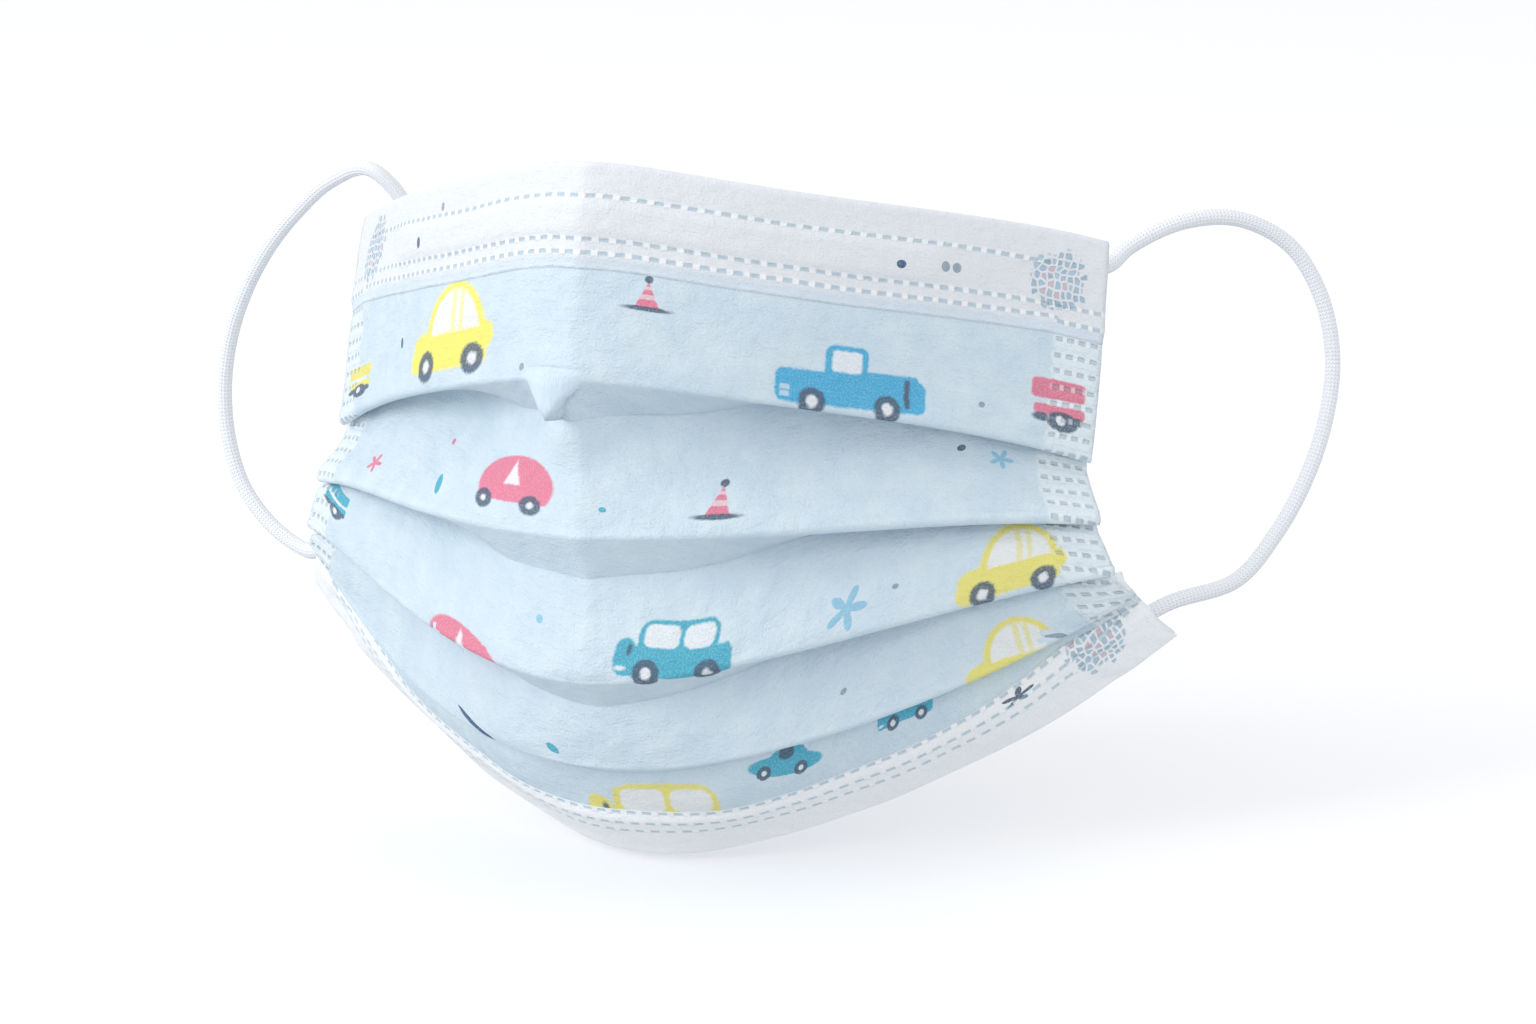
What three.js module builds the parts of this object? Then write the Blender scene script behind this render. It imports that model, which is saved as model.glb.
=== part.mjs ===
// Pleated face mask, opened as it is worn. Sizes in millimetres.
// +Z is up, the front faces -Y, and the origin is the middle of the top edge,
// where the mask sits on the bridge of the nose.
import * as THREE from 'three';

// Driving dimensions
const WALL = 1.0;            // cloth, three plies pressed together
const GAP = 0.4;             // clearance between neighbouring pieces
const FOLD_RADIUS = 0.65;    // middle of the cloth where a fold turns
const STATIONS = 29;         // sections across the mask
const TOP_BAND = 16.5;       // height of the white strip at the nose
const TOP_INNER_LEG = 12;    // the same strip on the inside
const CHIN_INNER_LEG = 5;
const WIRE = { half: 0.63, width: 3.6, thickness: 0.8, down: 8.8 };
const CORD_DIAMETER = 2.5;

// One row for each line that runs across the mask, from nose to chin. mid is the
// point on the middle plane, corner the point on the side seam; round is how
// softly the line turns at the middle, swell how far it bows forward and down.
const LINES = [
  { name: 'top edge', midY: 0.0, midZ: 0.0, cornerX: 63.9, cornerY: 52.9, cornerZ: -20.0, round: 0.13, swellY: 5.2, swellZ: -1.3 },
  { name: 'fold 1', midY: -10.1, midZ: -31.8, cornerX: 65.3, cornerY: 40.0, cornerZ: -52.1, round: 0.20, swellY: 2.5, swellZ: -1.8 },
  { name: 'fold 2', midY: -10.6, midZ: -56.2, cornerX: 67.8, cornerY: 36.2, cornerZ: -60.7, round: 0.28, swellY: 3.2, swellZ: -1.3 },
  { name: 'fold 3', midY: -10.1, midZ: -79.2, cornerX: 69.9, cornerY: 36.2, cornerZ: -68.8, round: 0.30, swellY: 3.0, swellZ: -1.2 },
  { name: 'fold 4', midY: -2.3, midZ: -94.8, cornerX: 71.6, cornerY: 40.4, cornerZ: -73.4, round: 0.38, swellY: 3.2, swellZ: 2.1 },
  { name: 'chin strip', midY: 7.2, midZ: -104.0, cornerX: 73.2, cornerY: 44.0, cornerZ: -77.0, round: 0.30, swellY: 1.4, swellZ: 3.0 },
  { name: 'chin edge', midY: 14.2, midZ: -112.6, cornerX: 75.3, cornerY: 48.9, cornerZ: -81.4, round: 0.29, swellY: -0.6, swellZ: 3.4 },
];

// One row for each fold: the strip of cloth it tucks away at the middle and at
// the seams, and how far the cloth turns at the middle (180 is pressed shut).
const FOLDS = [
  { line: 1, midTuck: 8.0, seamTuck: 6.0, midTurn: 46 },
  { line: 2, midTuck: 8.0, seamTuck: 4.4, midTurn: 42 },
  { line: 3, midTuck: 6.5, seamTuck: 4.8, midTurn: 50 },
  { line: 4, midTuck: 3.0, seamTuck: 2.4, midTurn: 45 },
];

// Points the elastic cords pass through outside the mask
const CORD_RIGHT = [
  { x: 65.4, y: 59.1, z: -22.0 }, { x: 71.7, y: 66.2, z: -19.1 }, { x: 78.7, y: 73.1, z: -19.6 },
  { x: 85.4, y: 78.3, z: -24.6 }, { x: 89.8, y: 80.2, z: -33.2 }, { x: 91.7, y: 79.4, z: -42.9 },
  { x: 91.3, y: 76.2, z: -52.3 }, { x: 89.3, y: 71.8, z: -61.0 }, { x: 86.1, y: 66.3, z: -68.6 },
  { x: 81.6, y: 60.0, z: -74.9 },
];
const CORD_LEFT = [
  { x: -62.7, y: 50.4, z: -12.0 }, { x: -71.0, y: 52.5, z: -14.6 }, { x: -78.1, y: 54.3, z: -19.9 },
  { x: -84.4, y: 55.8, z: -26.1 }, { x: -89.7, y: 57.0, z: -33.3 }, { x: -93.7, y: 57.8, z: -41.4 },
  { x: -95.8, y: 58.0, z: -50.1 }, { x: -95.7, y: 57.7, z: -59.1 }, { x: -92.9, y: 56.7, z: -67.6 },
  { x: -86.9, y: 54.9, z: -73.9 }, { x: -78.9, y: 52.7, z: -77.4 },
];

const clamp01 = (t) => Math.min(1, Math.max(0, t));
const ease = (t) => { const u = clamp01(t); return u * u * (3 - 2 * u); };
const unit = ([a, b]) => { const l = Math.hypot(a, b) || 1; return [a / l, b / l]; };
const turn = ([a, b], t) => [a * Math.cos(t) - b * Math.sin(t), a * Math.sin(t) + b * Math.cos(t)];

// Section frame: s runs from -1 at the left seam to 1 at the right one. Each
// section is drawn in a plane with an inward axis and a height.
function frameAt(s) {
  const soft = 0.3;
  const lift = (44 * s / Math.hypot(s, soft)) / (Math.hypot(1, soft) - soft);
  const [tx, ty] = unit([68, lift]);
  return { tx, ty };
}

function linePoint(row, s, f) {
  const q = Math.abs(s);
  const v = (Math.hypot(q, row.round) - row.round) / (Math.hypot(1, row.round) - row.round);
  const bowY = 16 * (q * (1 - q)) ** 2, bowZ = 6.75 * q * q * (1 - q);
  const x = row.cornerX * s;
  const y = row.midY + (row.cornerY - row.midY) * v - row.swellY * bowY;
  const z = row.midZ + (row.cornerZ - row.midZ) * v - row.swellZ * bowZ;
  return { t: x * f.tx + y * f.ty, a: -x * f.ty + y * f.tx, z };
}

// The cloth's middle line at one section, nose to chin: {t, a, z} points, with
// the index at which the first fold starts and the one at which the strip starts.
function clothLine(s) {
  const f = frameAt(s);
  const P = LINES.map((row) => linePoint(row, s, f));
  const dir = (i, j) => unit([P[j].a - P[i].a, P[j].z - P[i].z]);
  const heading = P.map((_, i) => {
    if (i === 0) return turn(dir(0, 1), -0.10);
    if (i === P.length - 1) return dir(i - 1, i);
    const u = dir(i - 1, i), w = dir(i, i + 1);
    return unit([u[0] + w[0], u[1] + w[1]]);
  });
  const pts = [];
  const panel = (A, hA, B, hB, tA, tB, n) => {
    const chord = Math.hypot(B[0] - A[0], B[1] - A[1]);
    for (let j = 1; j <= n; j++) {
      const u = j / n, u2 = u * u, u3 = u2 * u;
      const h00 = 2 * u3 - 3 * u2 + 1, h10 = u3 - 2 * u2 + u, h01 = 3 * u2 - 2 * u3, h11 = u3 - u2;
      pts.push({
        t: tA + (tB - tA) * u,
        a: h00 * A[0] + h10 * hA[0] * chord + h01 * B[0] + h11 * hB[0] * chord * 0.7,
        z: h00 * A[1] + h10 * hA[1] * chord + h01 * B[1] + h11 * hB[1] * chord * 0.7,
      });
    }
  };
  let at = [P[0].a, P[0].z], head = heading[0], tNow = P[0].t;
  pts.push({ t: tNow, a: at[0], z: at[1] });
  for (const fold of FOLDS) {
    let H = heading[fold.line];
    const close = 0.55 * Math.abs(s) + 0.45 * ease((Math.abs(s) - 0.2) / 0.6);
    const bend = (fold.midTurn + (180 - fold.midTurn) * close) * Math.PI / 180;
    const room = Math.hypot(P[fold.line].a - P[fold.line - 1].a, P[fold.line].z - P[fold.line - 1].z) - 3.2;
    const tuck = Math.min(fold.midTuck + (fold.seamTuck - fold.midTuck) * close, room);
    const early = FOLD_RADIUS * Math.sin(Math.min(bend, Math.PI / 2));
    let target = [P[fold.line].a - H[0] * early, P[fold.line].z - H[1] * early];
    target = keepClear(at, head, target);
    if (fold.line > 1) {
      const straight = unit([target[0] - at[0], target[1] - at[1]]), keep = 0.35 * (1 - close);
      H = unit([straight[0] + (H[0] - straight[0]) * keep, straight[1] + (H[1] - straight[1]) * keep]);
    }
    const N = turn(H, Math.PI / 2);
    panel(at, head, target, H, tNow, P[fold.line].t, fold.line === 1 ? 9 : 4);
    tNow = P[fold.line].t;
    at = target;
    const arcs = 3;
    const arc = (from, h, sign, by) => {
      const n = turn(h, sign * Math.PI / 2);
      for (let j = 1; j <= arcs; j++) {
        const b = by * j / arcs;
        const p = [0, 1].map((k) => from[k] + FOLD_RADIUS * (Math.sin(b) * h[k] + (1 - Math.cos(b)) * n[k]));
        pts.push({ t: tNow, a: p[0], z: p[1] });
        if (j === arcs) return [p, turn(h, sign * by)];
      }
    };
    let [p1, back] = arc(at, H, 1, bend);
    const p2 = [p1[0] + back[0] * tuck, p1[1] + back[1] * tuck];
    pts.push({ t: tNow, a: p2[0], z: p2[1] });
    const [p3, again] = arc(p2, back, -1, bend);
    const up = -((p3[0] - at[0]) * H[0] + (p3[1] - at[1]) * H[1]);
    const run = Math.max(0.4, up + 1.7);
    const p4 = [p3[0] + H[0] * run, p3[1] + H[1] * run];
    pts.push({ t: tNow, a: p4[0], z: p4[1] });
    at = p4; head = again;
  }
  const edge = keepClear(at, head, [P[6].a, P[6].z]);
  panel(at, head, edge, heading[6], tNow, P[6].t, 7);
  return { f, pts, strip: Math.hypot(P[6].t - P[5].t, P[6].a - P[5].a, P[6].z - P[5].z) };
}

// A panel that starts behind a closed fold may come forward no faster than it
// runs down, so that it never crosses the layers it lies behind.
function keepClear(from, head, to) {
  const N = turn(head, Math.PI / 2);
  const d = [to[0] - from[0], to[1] - from[1]];
  const along = d[0] * head[0] + d[1] * head[1], out = -(d[0] * N[0] + d[1] * N[1]);
  const most = 0.75 * Math.max(along, 0.3);
  return out > most ? [to[0] + N[0] * (out - most), to[1] + N[1] * (out - most)] : to;
}

const place = (f, t, a, z) => [t * f.tx - a * f.ty, t * f.ty + a * f.tx, z];

// Distances along a section line and the unit normal that points inwards
function measured(pts) {
  const len = [0];
  for (let i = 1; i < pts.length; i++) len.push(len[i - 1] + Math.hypot(pts[i].a - pts[i - 1].a, pts[i].z - pts[i - 1].z));
  const seg = (i, j) => unit([pts[j].a - pts[i].a, pts[j].z - pts[i].z]);
  const normal = pts.map((_, i) => {
    const u = seg(Math.max(0, i - 1), Math.max(1, i)), w = seg(Math.min(i, pts.length - 2), Math.min(i + 1, pts.length - 1));
    return turn(unit([u[0] + w[0], u[1] + w[1]]), Math.PI / 2);
  });
  return { len, normal };
}

// The point of a section line at a distance from its first point
function walk(pts) {
  const { len } = measured(pts);
  const at = (d) => {
    let i = 1;
    while (i < pts.length - 1 && len[i] < d) i++;
    const u = (d - len[i - 1]) / ((len[i] - len[i - 1]) || 1);
    const mix = (k) => pts[i - 1][k] + (pts[i][k] - pts[i - 1][k]) * u;
    return { t: mix('t'), a: mix('a'), z: mix('z') };
  };
  return { at, total: len[len.length - 1] };
}

// A closed body from rings with the same number of points, capped at both ends
function loft(name, rings, flats, material) {
  const n = rings[0].length, verts = rings.flat(2), index = [];
  for (let i = 0; i + 1 < rings.length; i++) {
    for (let j = 0; j < n; j++) {
      const a = i * n + j, b = i * n + (j + 1) % n, c = a + n, d = b + n;
      index.push(a, b, d, a, d, c);
    }
  }
  [[0, 0], [flats.length - 1, (rings.length - 1) * n]].forEach(([k, base]) => {
    const flat = flats[k].map(([p, q]) => new THREE.Vector2(p, q));
    const faces = THREE.ShapeUtils.triangulateShape(flat, []);
    const cw = THREE.ShapeUtils.area(flat) < 0;
    for (const [p, q, r] of faces) {
      const keep = (base === 0) !== cw;
      index.push(base + p, base + (keep ? r : q), base + (keep ? q : r));
    }
  });
  let volume = 0;
  const V = (i) => verts.slice(3 * i, 3 * i + 3);
  for (let i = 0; i < index.length; i += 3) {
    const [a, b, c] = [V(index[i]), V(index[i + 1]), V(index[i + 2])];
    volume += (a[0] * (b[1] * c[2] - b[2] * c[1]) + a[1] * (b[2] * c[0] - b[0] * c[2]) + a[2] * (b[0] * c[1] - b[1] * c[0])) / 6;
  }
  if (volume < 0) for (let i = 0; i < index.length; i += 3) [index[i + 1], index[i + 2]] = [index[i + 2], index[i + 1]];
  const geo = new THREE.BufferGeometry();
  geo.setAttribute('position', new THREE.Float32BufferAttribute(verts, 3));
  geo.setIndex(index);
  geo.computeVertexNormals();
  const mesh = new THREE.Mesh(geo, material);
  mesh.name = name;
  return mesh;
}

const cloth = new THREE.MeshStandardMaterial({ color: 0xa9cbe0, roughness: 0.9, metalness: 0 });
const white = new THREE.MeshStandardMaterial({ color: 0xe4ebf2, roughness: 0.9, metalness: 0 });
const elastic = new THREE.MeshStandardMaterial({ color: 0xedeff2, roughness: 0.85, metalness: 0 });
const metal = new THREE.MeshStandardMaterial({ color: 0xc9ccd0, roughness: 0.35, metalness: 1 });

const SECTIONS = [...Array(STATIONS)].map((_, i) => {
  const u = -1 + 2 * i / (STATIONS - 1);
  return Math.sign(u) * Math.abs(u) ** 1.04;
});
const sections = SECTIONS.map((s) => ({ s, ...clothLine(s) }));
const EDGE = WALL + GAP + WALL / 2;      // from a strip's outer edge to the sheet's edge

// Pleated sheet: trimmed at both edges by the thickness of the strips
function bodyRing({ f, pts }) {
  const cut = walk(pts);
  const head = cut.at(EDGE), tail = cut.at(cut.total - EDGE);
  const { len } = measured(pts);
  const inner = pts.filter((_, i) => len[i] > EDGE + 0.6 && len[i] < cut.total - EDGE - 0.3);
  const line = [head, ...inner, tail];
  const { normal } = measured(line);
  const side = (k) => line.map((p, i) => [p.t, p.a + normal[i][0] * k, p.z + normal[i][1] * k]);
  const ring = [...side(-WALL / 2), ...side(WALL / 2).reverse()];
  return { flat: ring.map(([, a, z]) => [a, z]), solid: ring.map(([t, a, z]) => place(f, t, a, z)) };
}

// A strip folded over an edge. d is the distance from the edge along the sheet;
// bulge lets the outer leg stand clear of whatever lies under it.
function stripRing({ f, pts }, outerDs, innerDs, bulge, fromEnd) {
  const line = fromEnd ? [...pts].reverse() : pts;
  const cut = walk(line), off = WALL + GAP, flip = fromEnd ? -1 : 1;
  const frame = (d) => {
    const p = cut.at(d), q = cut.at(Math.max(0, d - 0.4)), r = cut.at(d + 0.4);
    const n = turn(unit([r.a - q.a, r.z - q.z]), flip * Math.PI / 2);
    return { p, n, h: unit([r.a - q.a, r.z - q.z]) };
  };
  const mid = [];
  for (const d of outerDs) { const { p, n } = frame(d); const o = -(off + bulge(d)); mid.push([p.t, p.a + n[0] * o, p.z + n[1] * o, -n[0], -n[1]]); }
  const { p, n, h } = frame(EDGE);
  for (let j = 1; j < 6; j++) {
    const b = Math.PI * j / 6;
    const e = [-Math.cos(b) * n[0] - Math.sin(b) * h[0], -Math.cos(b) * n[1] - Math.sin(b) * h[1]];
    mid.push([p.t, p.a + e[0] * off, p.z + e[1] * off, e[0], e[1]]);
  }
  for (const d of innerDs) { const g = frame(d); mid.push([g.p.t, g.p.a + g.n[0] * off, g.p.z + g.n[1] * off, g.n[0], g.n[1]]); }
  const side = (k) => mid.map(([t, a, z, ea, ez]) => [t, a + ea * k, z + ez * k]);
  const ring = [...side(WALL / 2), ...side(-WALL / 2).reverse()];
  return { flat: ring.map(([, a, z]) => [a, z]), solid: ring.map(([t, a, z]) => place(f, t, a, z)) };
}

const overWire = (s) => (d) => {
  const rise = WIRE.thickness + GAP, reach = WIRE.width / 2 + 0.3;
  const across = ease(1 - (Math.abs(d - WIRE.down) - reach) / 0.9);
  return rise * across * ease((WIRE.half + 0.10 - Math.abs(s)) / 0.06);
};

const group = new THREE.Group();
const add = (name, rings, material) => group.add(loft(name, rings.map((r) => r.solid), rings.map((r) => r.flat), material));

add('mask_body', sections.map(bodyRing), cloth);
const d0 = WIRE.down, w0 = WIRE.width / 2;
add('top_hem', sections.map((sec) => stripRing(sec,
  [TOP_BAND, 13.6, d0 + w0 + 1.2, d0 + w0 + 0.75, d0 + w0 + 0.3, d0, d0 - w0 - 0.3, d0 - w0 - 0.75, d0 - w0 - 1.2, EDGE],
  [EDGE, 4, 6.5, 9, TOP_INNER_LEG], overWire(sec.s), false)), white);
add('bottom_hem', sections.map((sec) => stripRing(sec,
  [1, 0.75, 0.5].map((k) => sec.strip * (1 - 0.16 * ease((Math.abs(sec.s) - 0.6) / 0.3)) * k).concat([EDGE]), [EDGE, CHIN_INNER_LEG * 0.7, CHIN_INNER_LEG], () => 0, true)), white);

// Flat wire between the sheet and the strip
const wireSections = [...Array(23)].map((_, i) => (-1 + 2 * i / 22) * WIRE.half).map((s) => ({ s, ...clothLine(s) }));
add('nose_wire', wireSections.map(({ f, pts }) => {
  const cut = walk(pts);
  const near = WALL / 2 + GAP, far = near + WIRE.thickness;
  const corner = (d, o) => {
    const p = cut.at(d), q = cut.at(d - 0.5), r = cut.at(d + 0.5), n = turn(unit([r.a - q.a, r.z - q.z]), Math.PI / 2);
    return [p.t, p.a - n[0] * o, p.z - n[1] * o];
  };
  const lo = WIRE.down - WIRE.width / 2, hi = WIRE.down + WIRE.width / 2, c = 0.25;
  const ring = [corner(lo + c, far), corner(WIRE.down, far), corner(hi - c, far), corner(hi, far - c), corner(hi, near), corner(WIRE.down, near), corner(lo, near), corner(lo, far - c)];
  return { flat: ring.map(([, a, z]) => [a, z]), solid: ring.map(([t, a, z]) => place(f, t, a, z)) };
}), metal);

// Elastic cords: each end is welded flat behind a corner
function behind(s, d, fromEnd) {
  const { f, pts } = clothLine(s);
  const line = fromEnd ? [...pts].reverse() : pts, cut = walk(line);
  const p = cut.at(d), q = cut.at(d - 0.5), r = cut.at(d + 0.5);
  const n = turn(unit([r.a - q.a, r.z - q.z]), (fromEnd ? -1 : 1) * Math.PI / 2);
  const o = WALL / 2 + GAP + WALL + GAP + CORD_DIAMETER / 2 + 0.1;
  return new THREE.Vector3(...place(f, p.t, p.a + n[0] * o, p.z + n[1] * o));
}

function cord(name, startRun, points, endRun) {
  const path = [...startRun.map(([s, d]) => behind(s, d, false)),
    ...points.map(({ x, y, z }) => new THREE.Vector3(x, y, z)),
    ...endRun.map(([s, d]) => behind(s, d, true))];
  const curve = new THREE.CatmullRomCurve3(path, false, 'centripetal');
  const shape = new THREE.Shape();
  for (let j = 0; j < 8; j++) {
    const b = 2 * Math.PI * j / 8, p = [Math.cos(b) * CORD_DIAMETER / 2, Math.sin(b) * CORD_DIAMETER / 2];
    if (j) shape.lineTo(...p); else shape.moveTo(...p);
  }
  const geo = new THREE.ExtrudeGeometry(shape, { steps: 33, extrudePath: curve, bevelEnabled: false });
  const mesh = new THREE.Mesh(geo, elastic);
  mesh.name = name;
  group.add(mesh);
  return curve.getLength();
}

cord('ear_loop_right', [[0.86, 8.5], [0.94, 5.5], [1.02, 2.4]], CORD_RIGHT, [[1.03, 2.2], [0.95, 3.2], [0.87, 4.6]]);
cord('ear_loop_left', [[-0.90, 12.5], [-0.91, 6.0], [-0.925, -1.0]], CORD_LEFT, [[-1.03, 3.2], [-0.95, 3.6], [-0.87, 4.8]]);

group.name = 'surgical_face_mask';
export default group;
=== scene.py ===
# %% [markdown]
# # A pleated face mask, opened as it is worn
# This lesson dresses a plain CAD model. The CAD gives the sizes and the place of every piece.
# Blender adds what makes the mask look like cloth: the soft folds, the welded seams, the small
# printed cars, the knitted ear loops and the light.

# %% Load the frame
import math
from functools import reduce
import bpy
from mathutils import Matrix
import numpy as np


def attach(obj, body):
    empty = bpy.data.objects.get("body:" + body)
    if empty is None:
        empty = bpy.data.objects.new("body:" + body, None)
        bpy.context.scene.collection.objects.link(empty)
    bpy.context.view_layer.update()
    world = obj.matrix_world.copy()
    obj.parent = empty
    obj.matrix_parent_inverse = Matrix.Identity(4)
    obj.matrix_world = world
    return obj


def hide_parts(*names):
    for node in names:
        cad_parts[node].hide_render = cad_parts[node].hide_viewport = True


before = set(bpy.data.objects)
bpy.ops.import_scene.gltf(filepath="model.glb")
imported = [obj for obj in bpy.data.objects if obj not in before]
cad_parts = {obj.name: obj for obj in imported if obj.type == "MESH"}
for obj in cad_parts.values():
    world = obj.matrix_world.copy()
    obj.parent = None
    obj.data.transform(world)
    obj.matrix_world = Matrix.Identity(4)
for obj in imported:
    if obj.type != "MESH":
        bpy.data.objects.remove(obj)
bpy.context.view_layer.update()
MM = 0.001

# %% [markdown]
# ## The camera
# The picture was taken from a little above and from the mask's left. A long lens at one metre
# keeps the near and far cheek almost the same size. The camera is turned by its own three axes,
# so that the frame sits a little to the right of the mask without shifting the lens.

# %% Camera
AZIMUTH, ELEVATION, ROLL = (math.radians(a) for a in (24.9, 12.84, -2.60))
FOCAL_PIXELS = 6443.1
IMAGE_WIDTH, SENSOR_MM = 1536, 36.0
AIM = np.array([0.0, 10.0, -60.0]) * MM
DISTANCE = 1.0
ASIDE_PIXELS, DOWN_PIXELS = 137.0, 18.5


def swing(a, b, angle):
    """Two axes turned together in their own plane."""
    c, s = math.cos(angle), math.sin(angle)
    return c * a + s * b, c * b - s * a


def camera_axes():
    """Right, up and backward unit vectors, and the place: first from azimuth, elevation and
    roll, then panned and tilted by angles whose tangents are pixels over the focal length."""
    ca, sa, ce, se = math.cos(AZIMUTH), math.sin(AZIMUTH), math.cos(ELEVATION), math.sin(ELEVATION)
    back = np.array([sa * ce, -ca * ce, se])
    right = np.array([ca, sa, 0.0])
    right, up = swing(right, np.cross(back, right), ROLL)
    place = AIM + back * DISTANCE
    right, back = swing(right, back, math.atan(ASIDE_PIXELS / FOCAL_PIXELS))
    up, back = swing(up, back, math.atan(DOWN_PIXELS / FOCAL_PIXELS))
    return right, up, back, place


def add_object(name, data):
    """A new object in the scene."""
    made = bpy.data.objects.new(name, data)
    bpy.context.scene.collection.objects.link(made)
    return made


def matrix_of(right, up, back, place):
    """An object's matrix: its three axes and its place as columns."""
    matrix = np.eye(4)
    matrix[:3, 0], matrix[:3, 1], matrix[:3, 2], matrix[:3, 3] = right, up, back, place
    return Matrix(matrix.tolist())


def make_camera():
    """A long lens: its millimetres are the sensor's width times focal pixels over image pixels."""
    data = bpy.data.cameras.new("camera")
    data.sensor_width = SENSOR_MM
    data.lens = SENSOR_MM * FOCAL_PIXELS / IMAGE_WIDTH
    data.clip_start, data.clip_end = 0.05, 20.0
    camera = add_object("camera", data)
    camera.matrix_world = matrix_of(*camera_axes())
    bpy.context.scene.camera = camera
    return camera


camera = make_camera()
print("lens in mm:", round(camera.data.lens, 1))

# %% [markdown]
# ## The shape of the cloth
# The mask is one rectangle of cloth with four knife folds. Its seams hold the folds shut at both
# sides, and the face pushes them open in the middle. Seven lines run across it from nose to chin.
# Each line is a smooth V that is given by its middle and its corner, so a short table describes
# the whole surface. A section between two seams is then drawn like a turtle's path: down a panel,
# round a fold, up the tucked strip, round again, and down the next panel.

# %% The seven lines and the four folds
LINES = (  # name, middle y and z, corner x, y and z, roundness, swell forward, swell down
    ("top edge", 0.0, 0.0, 63.9, 52.9, -20.0, 0.13, 5.2, -1.3),
    ("fold 1", -10.1, -31.8, 65.3, 40.0, -52.1, 0.20, 2.5, -1.8),
    ("fold 2", -10.6, -56.2, 67.8, 36.2, -60.7, 0.28, 3.2, -1.3),
    ("fold 3", -10.1, -79.2, 69.9, 36.2, -68.8, 0.30, 3.0, -1.2),
    ("fold 4", -2.3, -94.8, 71.6, 40.4, -73.4, 0.38, 3.2, 2.1),
    ("chin strip", 7.2, -104.0, 73.2, 44.0, -77.0, 0.30, 1.4, 3.0),
    ("chin edge", 14.2, -112.6, 75.3, 48.9, -81.4, 0.29, -0.6, 3.4),
)
FOLDS = (  # line, tuck at the middle, tuck at the seams, turn at the middle in degrees
    (1, 8.0, 6.0, 46.0), (2, 8.0, 4.4, 42.0), (3, 6.5, 4.8, 50.0), (4, 3.0, 2.4, 45.0),
)
FOLD_RADIUS = 0.65
CLOTH = 0.8      # thickness of the cloth that is drawn
COLUMNS = 191    # samples from seam to seam
PANEL_ROWS = {1: 46, 2: 32, 3: 28, 4: 20, 5: 26}
FOLD_ROWS, TUCK_ROWS, RETURN_ROWS = 6, 6, 4
PAST_LIP = 1.7   # how far the turn back runs down behind its lip
LEFT_FLUSH, LEFT_FLUSH_FROM = 1.5, 0.86     # mm outwards near the left seam, and where it starts
PLAN_HALF, PLAN_DEPTH, PLAN_ROUND = 68.0, 44.0, 0.3     # a rounded V as the plan of the mask


def ease(t):
    """Smooth step: zero to one with flat ends, 3 t squared minus 2 t cubed."""
    t = np.clip(t, 0.0, 1.0)
    return t * t * (3.0 - 2.0 * t)


def unit(v):
    """A vector over its own length, along the last axis."""
    return v / np.maximum(np.linalg.norm(v, axis=-1, keepdims=True), 1e-12)


def turned(v, angle):
    """A plane vector turned left by an angle in radians."""
    c, s = np.cos(angle), np.sin(angle)
    return np.stack([v[..., 0] * c - v[..., 1] * s, v[..., 0] * s + v[..., 1] * c], axis=-1)


def section_axes(s):
    """The plan direction across the mask at s: along it, and inwards from it."""
    slope = s / np.hypot(s, PLAN_ROUND) / (math.hypot(1.0, PLAN_ROUND) - PLAN_ROUND)
    along = unit(np.stack([np.full_like(s, PLAN_HALF), PLAN_DEPTH * slope], axis=-1))
    return along, np.stack([-along[:, 1], along[:, 0]], axis=-1)


def line_point(row, s):
    """A line's point at s: a rounded V between middle and corner, and a swell between them."""
    _, my, mz, cx, cy, cz, soft, swell_y, swell_z = row
    q = np.abs(s)
    v = (np.hypot(q, soft) - soft) / (math.hypot(1.0, soft) - soft)
    bow_y, bow_z = 16.0 * (q * (1.0 - q)) ** 2, 6.75 * q * q * (1.0 - q)
    y = my + (cy - my) * v - swell_y * bow_y
    z = mz + (cz - mz) * v - swell_z * bow_z
    return np.stack([cx * s, y, z], axis=-1)


print(len(LINES), "lines,", len(FOLDS), "folds")


# %% A whole family of sections at once
def keep_clear(start, head, aim):
    """A panel behind a closed fold comes forward no faster than three quarters of its run down."""
    inward = turned(head, math.pi / 2)
    step = aim - start
    down = (step * head).sum(-1)
    out = -(step * inward).sum(-1)
    excess = np.maximum(out - 0.75 * np.maximum(down, 0.3), 0.0)
    return aim + inward * excess[:, None]


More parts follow.
